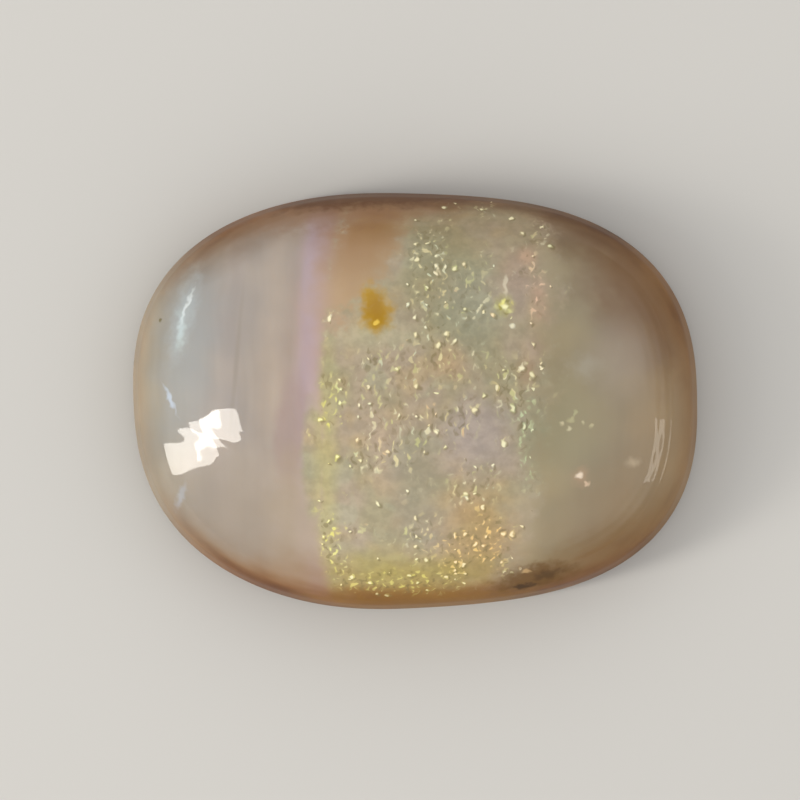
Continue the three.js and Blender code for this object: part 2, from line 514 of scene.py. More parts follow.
def milky_layers(tree, at):
    """The milky body: a row of colours along the layer, times the tones of long strands and of broad milky
    noise, with the clouds, some of them painted shade, the streaks and the warm wedge laid over it."""
    along = number(tree, "MULTIPLY_ADD", at.layer, 1 / LAYER_SPAN, -LAYER_START / LAYER_SPAN)
    body = ramp(tree, along, [((spot - LAYER_START) / LAYER_SPAN, colour) for spot, colour in LAYER_COLOURS])
    strand_place = vector(tree, "MULTIPLY", at.drifted, STRAND_STRETCH)
    strand_tone = ramp(tree, noise(tree, strand_place, 1.0, roughness=STRAND_ROUGHNESS)[0], STRAND_TONES)
    body = tint(tree, fade(tree, at.x, *STRAND_FADE), body, strand_tone, "MULTIPLY")
    milk_place = vector(tree, "ADD", at.where, MILK_APART)
    milk = noise(tree, milk_place, MILK_PER_MM, detail=1.0, roughness=MILK_ROUGHNESS)[0]
    milk_tone = ramp(tree, milk, MILK_TONES)
    body = tint(tree, 1.0, body, milk_tone, "MULTIPLY")
    for colour, strength, middle, half_size, turn, edge in MILKY_CLOUDS_AND_PAINTED_SHADE:
        mask = cloud(tree, at.where, at.uneven, middle, half_size, turn, edge, strength)
        body = tint(tree, mask, body, (*colour, 1))
    for colour, strength, middle, half_size, turn, edge in MILKY_STREAKS:
        mask = cloud(tree, at.pushed, at.torn, middle, half_size, turn, edge, strength)
        body = tint(tree, mask, body, (*colour, 1))
    warm = cloud(tree, at.where, at.uneven, WEDGE_MIDDLE, WEDGE_HALF_SIZE, turn=-20, edge=0.75, strength=0.9)
    return tint(tree, warm, body, ramp(tree, fade(tree, at.y, *WEDGE_FADE), WEDGE_TONES))


# The band that holds the play of colour: its two borders along the stone, the bulge of the left one, the
# lean, tearing and waves of the right one, and the cut that the wedge makes
BAND_LEFT_FADE = (-2.95, -2.55)
BAND_LEFT_TEARING = 0.3
BULGE_MIDDLE = (-2.85, -1.6, 4.2)
BULGE_HALF_SIZE = (0.32, 1.5, 2.0)
BAND_RIGHT_FADE = (4.3, 2.9)
BAND_RIGHT_SLANT = -0.10
BAND_RIGHT_TEARING = 1.6
BAND_RIGHT_WAVES = 1.2
CUT_MIDDLE = (-1.4, 4.4, 3.0)
CUT_HALF_SIZE = (0.95, 2.5, 3.0)


def fire_band(tree, at):
    """The mask of the band that holds the play of colour: from a layer on the left, with a bulge, to a ragged
    border on the right that leans the other way, less the wedge that cuts into its upper left."""
    left_place = number(tree, "MULTIPLY_ADD", at.fine, BAND_LEFT_TEARING, at.layer)
    bulge = cloud(tree, at.where, at.uneven, BULGE_MIDDLE, BULGE_HALF_SIZE, edge=0.35)
    left_side = number(tree, "MAXIMUM", fade(tree, left_place, *BAND_LEFT_FADE), bulge)
    right_place = number(tree, "MULTIPLY_ADD", at.y, BAND_RIGHT_SLANT, at.drifted_x)
    right_place = number(tree, "SUBTRACT", right_place, at.lean)
    right_place = number(tree, "MULTIPLY_ADD", at.fine, BAND_RIGHT_TEARING, right_place)
    right_place = number(tree, "MULTIPLY_ADD", at.coarse, BAND_RIGHT_WAVES, right_place)
    band = number(tree, "MULTIPLY", left_side, fade(tree, right_place, *BAND_RIGHT_FADE))
    cut = cloud(tree, at.where, at.torn, CUT_MIDDLE, CUT_HALF_SIZE, turn=-28, edge=0.3)
    return number(tree, "MULTIPLY", band, number(tree, "SUBTRACT", 1.0, cut))


# The veil's own soft colours, before its clouds
VEIL_GREEN = (0.365, 0.325, 0.21, 1)
VEIL_BEIGE = (0.405, 0.335, 0.25, 1)
VEIL_PEACH = (0.46, 0.36, 0.22, 1)
VEIL_GREY = (0.385, 0.38, 0.27, 1)
VEIL_BEIGE_FADE = (0.36, 0.64)
VEIL_PEACH_FADE = (0.52, 0.70, 0.0, 0.6)
VEIL_GREY_FADE = (0.46, 0.34, 0.0, 0.5)
VEIL_FIRST_PER_MM = 0.75
VEIL_SECOND_PER_MM = 1.1
VEIL_APART = (13, 7, 3)

# Clouds in the veil: colour, how strong, middle, half size, turn and edge
VEIL_CLOUDS = [
    ((0.28, 0.26, 0.14), 0.7, (0.8, 3.6, 3.6), (1.2, 1.9, 2.0), 0, 0.7),
    ((0.315, 0.32, 0.235), 0.6, (1.5, 2.5, 4.0), (0.8, 1.1, 2.0), 0, 0.7),
    ((0.41, 0.28, 0.19), 0.6, (3.0, 3.8, 3.4), (0.7, 0.6, 2.0), 0, 0.7),
    ((0.41, 0.285, 0.20), 0.6, (3.6, 2.3, 3.8), (0.4, 1.0, 2.0), 0, 0.7),
    ((0.47, 0.43, 0.29), 0.6, (-1.1, 1.8, 4.3), (1.3, 0.35, 2.0), 0, 0.7),
    ((0.45, 0.40, 0.20), 0.7, (-2.5, -1.9, 4.0), (0.3, 3.2, 3.0), 0, 0.8),
    ((0.405, 0.345, 0.315), 0.85, (1.75, -0.9, 4.3), (1.0, 1.0, 2.0), 0, 0.7),
    ((0.46, 0.365, 0.285), 0.7, (-0.9, -1.4, 4.3), (0.5, 0.9, 2.0), 0, 0.7),
    ((0.48, 0.345, 0.195), 0.6, (0.9, 1.05, 4.4), (0.45, 0.5, 2.0), 0, 0.8),
    ((0.45, 0.31, 0.19), 0.6, (3.15, 0.75, 4.1), (0.32, 0.38, 2.0), 0, 0.8),
    ((0.29, 0.30, 0.19), 0.6, (3.4, -1.1, 3.9), (0.42, 1.3, 2.0), 0, 0.8),
    ((0.34, 0.335, 0.28), 0.5, (-0.1, -1.7, 4.3), (0.5, 0.5, 2.0), 0, 0.8),
    ((0.375, 0.295, 0.235), 0.6, (2.9, 3.2, 3.6), (0.35, 0.9, 2.0), 0, 0.8),
    ((0.54, 0.36, 0.24), 0.65, (3.15, 4.1, 3.3), (0.26, 0.24, 2.0), 20, 0.7),
    ((0.52, 0.345, 0.25), 0.65, (3.5, 2.6, 3.7), (0.20, 0.55, 2.0), 8, 0.7),
    ((0.33, 0.295, 0.205), 0.7, (0.1, -2.6, 3.9), (0.6, 1.6, 2.0), 0, 0.7),
    ((0.43, 0.275, 0.09), 0.65, (1.8, -3.7, 3.3), (1.0, 1.4, 2.0), 0, 0.7),
    ((0.44, 0.36, 0.10), 0.75, (-0.4, -4.9, 2.2), (2.2, 0.7, 2.0), 0, 0.7),
    ((0.33, 0.18, 0.02), 0.8, (0.4, -5.6, 1.7), (3.2, 0.45, 1.2), 0, 0.7),
]


def colour_veil(tree, at):
    """The veil of soft colours in the band: green and beige mixed by one broad noise, peach and grey laid
    on at the high and low ends of another, and the clouds over them."""
    first = noise(tree, at.drifted, VEIL_FIRST_PER_MM, detail=1.0)[0]
    second = noise(tree, vector(tree, "ADD", at.drifted, VEIL_APART), VEIL_SECOND_PER_MM, detail=1.0)[0]
    veil = tint(tree, fade(tree, first, *VEIL_BEIGE_FADE), VEIL_GREEN, VEIL_BEIGE)
    veil = tint(tree, fade(tree, second, *VEIL_PEACH_FADE), veil, VEIL_PEACH)
    veil = tint(tree, fade(tree, second, *VEIL_GREY_FADE), veil, VEIL_GREY)
    for colour, strength, middle, half_size, turn, edge in VEIL_CLOUDS:
        mask = cloud(tree, at.where, at.uneven, middle, half_size, turn, edge, strength)
        veil = tint(tree, mask, veil, (*colour, 1))
    return veil


# The brown skin of the rock, darkened further as painted shade down the side: its stain up the shoulder, its
# own tones, and the painted shade that darkens the long sides, each with its fades by the level and along the
# stone or across it
# Partly the rock's own brown and partly painted shade: the stain and the skin are darker down the side
SKIN_STAIN_AND_SHADE = (0.23, 0.115, 0.035, 1)
STAIN_AND_SHADE_LEVEL_FADE = (3.4, 1.7)
STAIN_AND_SHADE_LENGTH_FADE = (-7.5, 0.0, 0.0, 0.5)
SKIN_AND_SHADE_TONES = [(0.3, (0.12, 0.045, 0.010)), (0.7, (0.22, 0.105, 0.03))]
SKIN_STRETCH = (0.5, 0.5, 1.5)
SKIN_UNEVENNESS = 1.1
SKIN_AND_SHADE_LEVEL_FADE = (2.3, 1.3)
SKIN_AND_SHADE_LENGTH_FADE = (-7.8, -4.5, 0.15, 0.8)
SKIN_LOSS_IN_BAND = -0.2
SKIN_LOSS_AT_CLEAR_END = -0.65
CLEAR_END_MIDDLE = (8.2, -1.0, 2.0)
CLEAR_END_HALF_SIZE = (2.2, 3.0, 3.0)
# Painted shade on the long sides low down, darkest at the top right
LONG_SIDE_PAINTED_SHADE = (0.82, 0.62, 0.42, 1)
LONG_SIDE_WIDTH_FADE = (3.2, 5.2, 0.0, 0.9)
LONG_SIDE_LEVEL_FADE = (2.6, 1.7)
TOP_RIGHT_PAINTED_SHADE = (0.64, 0.57, 0.52, 1)
TOP_RIGHT_MIDDLE = (4.4, 5.2, 2.2)
TOP_RIGHT_HALF_SIZE = (3.6, 2.0, 3.0)


def skin_level(tree, at):
    """The height that the skin and the painted rim shade go by, made uneven by noise. Gives the noise too."""
    uneven = noise(tree, vector(tree, "MULTIPLY", at.where, SKIN_STRETCH), scale=1.0)[0]
    centred = number(tree, "SUBTRACT", uneven, 0.5)
    return number(tree, "MULTIPLY_ADD", centred, SKIN_UNEVENNESS, at.z), uneven


def brown_skin_and_rim_shade(tree, at, body, fire, grain_tone, level, uneven):
    """The side and shoulder: a stain and then the skin come in as the level falls, partly the rock's brown
    and partly painted shade on the side. They are weakest at the left and in the clear right-hand end, and
    the skin gives way a little in the band. The long sides are darkened last by painted shade, most at the
    top right."""
    clear_end = cloud(tree, at.where, at.uneven, CLEAR_END_MIDDLE, CLEAR_END_HALF_SIZE, edge=0.7)
    covered = number(tree, "MULTIPLY_ADD", clear_end, SKIN_LOSS_AT_CLEAR_END, 1.0)
    stain_along = fade(tree, at.x, *STAIN_AND_SHADE_LENGTH_FADE)
    stain_and_shade = number(tree, "MULTIPLY", fade(tree, level, *STAIN_AND_SHADE_LEVEL_FADE), stain_along)
    body = tint(tree, number(tree, "MULTIPLY", stain_and_shade, covered), body, SKIN_STAIN_AND_SHADE)
    skin_and_shade = number(tree, "MULTIPLY", fade(tree, level, *SKIN_AND_SHADE_LEVEL_FADE), covered)
    skin_and_shade = number(tree, "MULTIPLY", skin_and_shade, fade(tree, at.x, *SKIN_AND_SHADE_LENGTH_FADE))
    skin_and_shade = number(tree, "MULTIPLY", skin_and_shade, number(tree, "MULTIPLY_ADD", fire, SKIN_LOSS_IN_BAND, 1.0))
    skin_and_shade_tone = tint(tree, 1.0, ramp(tree, uneven, SKIN_AND_SHADE_TONES), grain_tone, "MULTIPLY")
    body = tint(tree, skin_and_shade, body, skin_and_shade_tone)
    top_right = cloud(tree, at.where, at.uneven, TOP_RIGHT_MIDDLE, TOP_RIGHT_HALF_SIZE, turn=-20, edge=0.5)
    side_painted_shade = tint(tree, top_right, LONG_SIDE_PAINTED_SHADE, TOP_RIGHT_PAINTED_SHADE)
    long_side_painted_shade = fade(tree, number(tree, "ABSOLUTE", at.y), *LONG_SIDE_WIDTH_FADE)
    long_side_painted_shade = number(tree, "MULTIPLY", long_side_painted_shade, fade(tree, level, *LONG_SIDE_LEVEL_FADE))
    return tint(tree, long_side_painted_shade, body, side_painted_shade, "MULTIPLY")


# Where specks crowd together: how densely, middle and half size
SPECK_CROWDS = [
    (0.7, (-2.3, -0.3, 4.2), (0.45, 0.5, 2.0)),
    (0.8, (-2.4, -3.9, 3.2), (0.4, 0.7, 2.0)),
    (0.7, (2.48, 2.68, 3.7), (0.25, 0.32, 2.0)),
    (0.9, (1.15, -4.4, 2.8), (0.5, 0.5, 2.0)),
    (0.8, (2.1, -3.9, 3.0), (0.6, 0.7, 2.0)),
    (0.8, (3.05, -1.0, 4.0), (0.2, 1.2, 2.0)),
    (0.6, (0.4, 3.6, 3.6), (0.6, 1.4, 2.0)),
    (0.6, (3.4, 3.0, 3.6), (0.3, 1.2, 2.0)),
    (0.7, (-0.4, -5.1, 2.2), (1.8, 0.4, 2.0)),
    (0.42, (0.5, 1.0, 4.4), (2.2, 0.8, 2.0)),
    (0.40, (-0.9, 0.1, 4.4), (1.2, 0.8, 2.0)),
    (0.45, (1.2, 2.9, 3.9), (1.1, 1.0, 2.0)),
    (0.55, (2.7, 0.4, 4.2), (0.7, 0.9, 2.0)),
    (0.50, (1.7, -2.4, 3.9), (0.8, 0.7, 2.0)),
    (0.45, (0.2, -4.0, 3.2), (0.5, 0.8, 2.0)),
]

# The specks' tones, mixed at random, and where specks share a tone: colour, middle and half size
MIXED_TONES = [
    (0.0, (0.64, 0.55, 0.29)),
    (0.3, (0.78, 0.70, 0.40)),
    (0.5, (0.62, 0.62, 0.28)),
    (0.7, (0.88, 0.82, 0.56)),
    (0.85, (0.66, 0.70, 0.50)),
    (1.0, (0.78, 0.57, 0.32)),
]
SHARED_TONES = [
    ((0.78, 0.76, 0.16), (-2.4, -2.2, 4.0), (0.6, 3.2, 3.0)),
    ((0.74, 0.66, 0.15), (-0.4, -5.0, 2.2), (2.0, 0.7, 2.0)),
    ((0.92, 0.60, 0.20), (1.7, -3.9, 3.0), (1.2, 1.0, 2.0)),
    ((0.50, 0.62, 0.38), (3.1, -1.0, 4.0), (0.4, 1.4, 2.0)),
    ((0.80, 0.76, 0.10), (2.48, 2.68, 3.7), (0.35, 0.35, 2.0)),
    ((0.84, 0.56, 0.40), (3.4, 3.0, 3.7), (0.4, 1.3, 2.0)),
]
SHARED_TONE_STRENGTH = 0.8
# Painted shadow beside each speck, as if the speck stood up and were lit from the upper left, and how strong
# it is
SPECK_PAINTED_SHADOW = (0.17, 0.135, 0.05, 1)
SPECK_PAINTED_SHADOW_STRENGTH = 0.52
SPECK_CORE = (0.97, 0.91, 0.66, 1)
SPECK_CORE_FADE = (0.5, 1.0, 0.0, 0.6)

SPECK_CELLS_PER_MM = 3.7
SPECK_SIZE = 0.28  # a share of a cell, before each speck's own size
SPECK_SIZE_LEAST = 0.5  # each speck's own size is from this
SPECK_SIZE_RANGE = 0.9  # to this much more
SPECK_FULL = 0.25  # the share of a speck's size that has its full strength
SPECK_SHARE = 0.48  # of the cells, where they are densest
PAINTED_SHADOW_SHIFT = (-0.055, 0.040, 0.0)  # a speck's painted shadow lies a little to its lower right
PAINTED_SHADOW_WIDENING = 1.4
# Flakes are painted light and shade: a painted highlight with a soft painted glow on one side, and painted
# shade on the other
FLAKES_PER_MM = 4.0
FLAKE_STRETCH = 0.75  # below 1, flakes and specks stand taller than they are wide
FLAKE_LIGHTING_STEP = np.array([-0.045, 0.012, 0.0])  # half the step between a flake's painted highlight and its painted shade
FLAKE_DRAWING = 1.4  # how strongly the flakes' map is drawn out down the dome
FLAKE_BREAKS_PER_MM = 6.5
FLAKE_BREAKS_FADE = (0.40, 0.58, 0.12, 1.0)
FLAKE_CROWDING_FADE = (0.02, 0.75)
FLAKE_PAINTED_SHADE_FADE = (-0.06, -0.18)  # by the painted light and shade, as the next two are
FLAKE_PAINTED_GLOW_FADE = (0.02, 0.15)
FLAKE_PAINTED_GLINT_FADE = (0.09, 0.20)
FLAKE_PAINTED_GLOW_STRENGTH = 0.22
FLAKE_PAINTED_GLINT_STRENGTH = 0.8
CROWD_PER_MM = 0.9
CROWD_APART = (5, 9, 2)
CROWD_FADE = (0.44, 0.66, 0.05, 0.6)
CROWD_LEVEL_FADE = (1.0, 2.8)


def speck_cells(group, given, where, widening):
    """One speck in each chosen cell of a flat mosaic of random cells. The density is the share that is
    chosen. The mask falls from 1 near the cell's middle to 0 at the size times the widening times a random
    number. Gives the mask and another random number for each cell."""
    mosaic = {"Vector": where, "Scale": given["Cells per mm"]}
    cells = place(group, "ShaderNodeTexVoronoi", mosaic, voronoi_dimensions="2D").outputs
    chance, hue, own_size = place(group, "ShaderNodeSeparateColor", {0: cells["Color"]}).outputs
    chosen = number(group, "LESS_THAN", chance, given["Density"])
    own_size = number(group, "MULTIPLY_ADD", own_size, SPECK_SIZE_RANGE, SPECK_SIZE_LEAST)
    size = number(group, "MULTIPLY", given["Size"], own_size)
    outer = number(group, "MULTIPLY", size, widening)
    inner = number(group, "MULTIPLY", size, SPECK_FULL * widening)
    return number(group, "MULTIPLY", fade(group, cells["Distance"], outer, inner), chosen), hue


def speck_group():
    """Pinfire specks, each with a painted shadow: a wider copy of the speck, shifted to its lower right,
    where the speck itself doesn't cover it. The hue is a random number for each speck."""
    inputs = [("Where", "Vector"), ("Cells per mm", "Float"), ("Size", "Float"), ("Density", "Float")]
    outputs = [("Mask", "Float"), ("Painted Shadow", "Float"), ("Hue", "Float")]
    group, given, made = group_with("pinfire_specks", inputs, outputs)
    speck, hue = speck_cells(group, given, given["Where"], 1.0)
    shifted = vector(group, "ADD", given["Where"], PAINTED_SHADOW_SHIFT)
    painted_shade = speck_cells(group, given, shifted, PAINTED_SHADOW_WIDENING)[0]
    uncovered = number(group, "SUBTRACT", 1.0, speck)
    group.links.new(speck, made["Mask"])
    group.links.new(number(group, "MULTIPLY", painted_shade, uncovered), made["Painted Shadow"])
    group.links.new(hue, made["Hue"])
    return group


SPECKS = speck_group()


def pinfire(tree, at, body, fire, level):
    """Pinfire: single specks with painted shadows, and tiny flakes with a painted highlight on one side and
    painted shade on the other, as if tilted and lit from one side, made as the difference of a noise at two
    places. Both lie on a flat map, which is the stone seen from above, drawn out along its width by the
    height it has fallen. They crowd by a broad noise or the crowds, whichever is more, and thin out down the
    side."""
    crowd = noise(tree, vector(tree, "ADD", at.where, CROWD_APART), CROWD_PER_MM, detail=1.0)[0]
    density = fade(tree, crowd, *CROWD_FADE)
    for amount, middle, half_size in SPECK_CROWDS:
        mask = cloud(tree, at.where, at.uneven, middle, half_size, edge=0.5, strength=amount)
        density = number(tree, "MAXIMUM", density, mask)
    density = number(tree, "MULTIPLY", density, fire)
    density = number(tree, "MULTIPLY", density, fade(tree, level, *CROWD_LEVEL_FADE))

    pushed_x, pushed_y = place(tree, "ShaderNodeSeparateXYZ", {0: at.pushed}).outputs[:2]
    fallen = number(tree, "SUBTRACT", HEIGHT, at.z)
    drawn_out = number(tree, "MULTIPLY_ADD", fallen, FLAKE_STRETCH * FLAKE_DRAWING / WIDTH, FLAKE_STRETCH)
    flat_y = number(tree, "MULTIPLY", pushed_y, drawn_out)
    flat_map = place(tree, "ShaderNodeCombineXYZ", {0: pushed_x, 1: flat_y}).outputs[0]
    speck = place(tree, "ShaderNodeGroup", {
        "Where": flat_map,
        "Cells per mm": SPECK_CELLS_PER_MM,
        "Size": SPECK_SIZE,
        "Density": number(tree, "MULTIPLY", density, SPECK_SHARE),
    }, node_tree=SPECKS).outputs
    tone = ramp(tree, speck["Hue"], MIXED_TONES)
    for colour, middle, half_size in SHARED_TONES:
        mask = cloud(tree, at.where, at.uneven, middle, half_size, strength=SHARED_TONE_STRENGTH)
        tone = tint(tree, mask, tone, (*colour, 1))

    near_place = vector(tree, "ADD", flat_map, FLAKE_LIGHTING_STEP)
    far_place = vector(tree, "ADD", flat_map, -FLAKE_LIGHTING_STEP)
    near = noise(tree, near_place, FLAKES_PER_MM, detail=1.0, kind="2D")[0]
    far = noise(tree, far_place, FLAKES_PER_MM, detail=1.0, kind="2D")[0]
    painted_light_and_shade = number(tree, "SUBTRACT", near, far)
    breaks = noise(tree, flat_map, FLAKE_BREAKS_PER_MM, detail=0.0, kind="2D")[0]
    whole = fade(tree, breaks, *FLAKE_BREAKS_FADE)
    crowded = number(tree, "MULTIPLY", fade(tree, density, *FLAKE_CROWDING_FADE), whole)
    # Painted shade on each flake's dark side, and a painted glow and glint on its lit side
    painted_shade = number(tree, "MULTIPLY", fade(tree, painted_light_and_shade, *FLAKE_PAINTED_SHADE_FADE), crowded)
    glow = number(tree, "MULTIPLY", fade(tree, painted_light_and_shade, *FLAKE_PAINTED_GLOW_FADE), crowded)
    glint = number(tree, "MULTIPLY", fade(tree, painted_light_and_shade, *FLAKE_PAINTED_GLINT_FADE), crowded)
    # Painted shade first, from the specks' painted shadows and the flakes' shaded sides, then the painted
    # glow and glints, then the specks
    dark = number(tree, "MAXIMUM", speck["Painted Shadow"], painted_shade)
    body = tint(tree, number(tree, "MULTIPLY", dark, SPECK_PAINTED_SHADOW_STRENGTH), body, SPECK_PAINTED_SHADOW)
    body = tint(tree, number(tree, "MULTIPLY", glow, FLAKE_PAINTED_GLOW_STRENGTH), body, tone)
    body = tint(tree, number(tree, "MULTIPLY", glint, FLAKE_PAINTED_GLINT_STRENGTH), body, tone)
    body = tint(tree, speck["Mask"], body, tone)
    return tint(tree, fade(tree, speck["Mask"], *SPECK_CORE_FADE), body, SPECK_CORE)


# The honey spot, a clear amber fault with two lobes and a dark core: middle, half size, turn, edge, strength
HONEY_AMBER = (0.46, 0.27, 0.0, 1)
HONEY_UPPER_LOBE = ((-1.24, 2.84, 4.0), (0.24, 0.42, 1.5), 8, 0.6, 0.95)
HONEY_LOWER_LOBE = ((-1.06, 2.47, 4.1), (0.38, 0.50, 1.5), -4, 0.6, 0.95)
HONEY_DARK = (0.30, 0.135, 0.0, 1)
HONEY_CORE = ((-1.10, 2.55, 4.1), (0.26, 0.42, 1.5), 20, 0.8, 0.5)


def honey_spot(tree, at, body):
    """The honey spot: amber by the stronger of the two lobes' masks, with the darker core laid over it."""
    upper = cloud(tree, at.pushed, at.torn, *HONEY_UPPER_LOBE)
    lower = cloud(tree, at.pushed, at.torn, *HONEY_LOWER_LOBE)
    body = tint(tree, number(tree, "MAXIMUM", upper, lower), body, HONEY_AMBER)
    return tint(tree, cloud(tree, at.pushed, at.torn, *HONEY_CORE), body, HONEY_DARK)


# Single marks: bright specks outside the crowds, a yellow-green flash, a faint pale patch and a dark dot. The
# columns are colour, how strong, middle, half size, turn and edge.
SINGLE_MARKS = [
    ((0.44, 0.30, 0.19), 0.7, (4.62, -2.12, 3.5), (0.20, 0.22, 0.8), 0, 0.8),
    ((0.90, 0.76, 0.60), 0.9, (4.58, -2.08, 3.5), (0.11, 0.09, 0.6), 0, 0.5),
    ((0.72, 0.54, 0.38), 0.8, (4.80, -2.30, 3.4), (0.06, 0.06, 0.6), 0, 0.5),
    ((0.62, 0.55, 0.36), 0.8, (4.12, -0.62, 3.9), (0.07, 0.05, 0.6), 0, 0.6),
    ((0.66, 0.60, 0.40), 0.8, (4.30, -0.75, 3.9), (0.06, 0.08, 0.6), 0, 0.6),
    ((0.50, 0.48, 0.28), 0.7, (4.47, -0.36, 3.8), (0.05, 0.12, 0.6), 0, 0.6),
    ((0.52, 0.48, 0.28), 0.7, (4.38, -0.52, 3.8), (0.08, 0.05, 0.6), 0, 0.6),
    ((0.60, 0.54, 0.34), 0.7, (4.66, -0.60, 3.6), (0.05, 0.06, 0.6), 0, 0.6),
    ((0.58, 0.52, 0.32), 0.7, (4.92, -0.72, 3.6), (0.05, 0.06, 0.6), 0, 0.6),
    ((0.56, 0.45, 0.31), 0.6, (6.10, -1.73, 3.0), (0.15, 0.13, 0.6), 0, 0.9),
    ((0.42, 0.39, 0.32), 0.45, (4.75, 0.95, 3.7), (0.35, 0.28, 0.8), 0, 0.95),
    ((0.50, 0.47, 0.15), 0.6, (2.47, 2.66, 3.8), (0.22, 0.23, 0.6), 0, 0.8),
    ((0.20, 0.18, 0.04), 0.6, (2.37, 2.60, 3.8), (0.05, 0.07, 0.6), 0, 0.7),
    ((0.20, 0.18, 0.04), 0.6, (2.57, 2.80, 3.8), (0.06, 0.04, 0.6), 0, 0.7),
    ((0.22, 0.19, 0.05), 0.6, (2.55, 2.46, 3.8), (0.07, 0.04, 0.6), 0, 0.7),
    ((0.86, 0.83, 0.30), 0.9, (2.45, 2.79, 3.8), (0.05, 0.06, 0.6), 0, 0.8),
    ((0.72, 0.71, 0.32), 0.8, (2.65, 2.50, 3.8), (0.09, 0.05, 0.6), 0, 0.8),
    ((0.64, 0.63, 0.32), 0.7, (2.25, 2.66, 3.8), (0.06, 0.06, 0.6), 0, 0.8),
    ((0.97, 0.95, 0.58), 0.95, (2.49, 2.62, 3.8), (0.06, 0.09, 0.6), 0, 0.8),
    ((0.84, 0.81, 0.62), 0.9, (2.72, 2.10, 3.9), (0.08, 0.07, 0.6), 0, 0.6),
    ((0.70, 0.64, 0.48), 0.7, (2.50, 3.25, 3.6), (0.06, 0.26, 0.6), 0, 0.6),
    ((0.85, 0.60, 0.10), 0.8, (-1.11, 2.22, 4.2), (0.07, 0.06, 0.6), 0, 0.5),
    ((0.12, 0.10, 0.03), 0.8, (-7.19, 2.27, 2.0), (0.06, 0.05, 0.6), 0, 0.5),
]

# Stains and dark spots in the rim, with the same columns, and a pale fleck among those at the lower right.
# The first three darken the upper and lower rims: partly the rock's brown, partly painted shade.
RIM_STAINS_AND_SHADE = [
    # The next three: partly the rock's brown and partly painted shade along the upper and lower rims
    ((0.24, 0.13, 0.07), 0.45, (-2.6, 5.4, 2.0), (3.0, 0.6, 1.4), 4, 0.5),
    ((0.09, 0.03, 0.004), 0.8, (-1.6, 5.8, 1.3), (3.4, 0.40, 1.2), 2, 0.5),
    ((0.24, 0.115, 0.012), 0.6, (0.8, -5.7, 1.3), (3.8, 0.45, 1.3), 0, 0.5),
    ((0.13, 0.058, 0.006), 0.85, (3.35, -4.97, 2.3), (1.1, 0.36, 0.9), 12, 0.5),
    ((0.05, 0.02, 0.002), 0.9, (3.06, -5.22, 2.1), (0.36, 0.07, 0.6), 4, 0.5),
    ((0.08, 0.035, 0.003), 0.8, (3.72, -4.89, 2.3), (0.38, 0.12, 0.6), 14, 0.5),
    ((0.62, 0.42, 0.20), 0.7, (3.12, -4.78, 2.4), (0.12, 0.06, 0.5), 0, 0.5),
]

# Darker and lighter tones of the fine grain in the veil and the skin
GRAIN_PER_MM = 3.6
GRAIN_ROUGHNESS = 0.6
GRAIN_TONES = [(0.3, (0.91, 0.91, 0.90)), (0.7, (1.09, 1.08, 1.07))]

# The ground and polished surface: the roughness falls and the coat of polish comes in as the height grows,
# and some light scatters below it
GROUND_ROUGHNESS_FADE = (0.02, 0.3, 0.5, 0.3)
COAT_FADE = (1.4, 2.6, 0.05, 1.0)
COAT_ROUGHNESS = 0.03
OPAL_INDEX = 1.45
GLOSS_BELOW_COAT = 0.04
SCATTER_WEIGHT = 0.3
SCATTER_RADIUS = (1.0, 0.75, 0.5)
SCATTER_SCALE = 0.0009  # metres


def opal_material():
    """Milky layered opal under a glassy polish. Colours depend on the place in the stone, so a layer or a
    cloud goes on wherever the surface cuts it. The veil covers the milky body in the band, and the skin,
    darkened further as painted shade, covers both on the side. The pinfire with its painted shadows and
    highlights, the honey spot, the marks and the stains, the first stains partly painted rim shade, are laid
    over them in turn."""
    material = bpy.data.materials.new("layered_opal")
    material.use_nodes = True
    tree = material.node_tree
    tree.nodes.clear()
    output = tree.nodes.new("ShaderNodeOutputMaterial")
    at = shared_places(tree)
    fire = fire_band(tree, at)
    grain = noise(tree, at.where, GRAIN_PER_MM, roughness=GRAIN_ROUGHNESS)[0]
    grain_tone = ramp(tree, grain, GRAIN_TONES)
    veil = tint(tree, 1.0, colour_veil(tree, at), grain_tone, "MULTIPLY")
    body = tint(tree, fire, milky_layers(tree, at), veil)
    level, uneven = skin_level(tree, at)
    body = brown_skin_and_rim_shade(tree, at, body, fire, grain_tone, level, uneven)
    body = pinfire(tree, at, body, fire, level)
    body = honey_spot(tree, at, body)
    for colour, strength, middle, half_size, turn, edge in SINGLE_MARKS + RIM_STAINS_AND_SHADE:
        mask = cloud(tree, at.pushed, at.torn, middle, half_size, turn, edge, strength)
        body = tint(tree, mask, body, (*colour, 1))

    shader = place(tree, "ShaderNodeBsdfPrincipled", {
        "Base Color": body,
        "Roughness": fade(tree, at.z, *GROUND_ROUGHNESS_FADE),
        "IOR": OPAL_INDEX,
        "Specular IOR Level": GLOSS_BELOW_COAT,
        "Subsurface Weight": SCATTER_WEIGHT,
        "Subsurface Radius": SCATTER_RADIUS,
        "Subsurface Scale": SCATTER_SCALE,
        "Coat Weight": fade(tree, at.z, *COAT_FADE),
        "Coat Roughness": COAT_ROUGHNESS,
        "Coat IOR": OPAL_INDEX,
    })
    tree.links.new(shader.outputs[0], output.inputs["Surface"])
    return material


stone = bpy.data.objects.new("polished_opal", stone_mesh("polished_opal"))
bpy.context.scene.collection.objects.link(stone)
stone.data.materials.append(opal_material())
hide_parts("opal")
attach(stone, "root")


# The floor: one wide sheet of pale matt board, bare and flat, that the stone lies on.
# It is a stage for the picture and no part of the stone, and lies a hair below it.

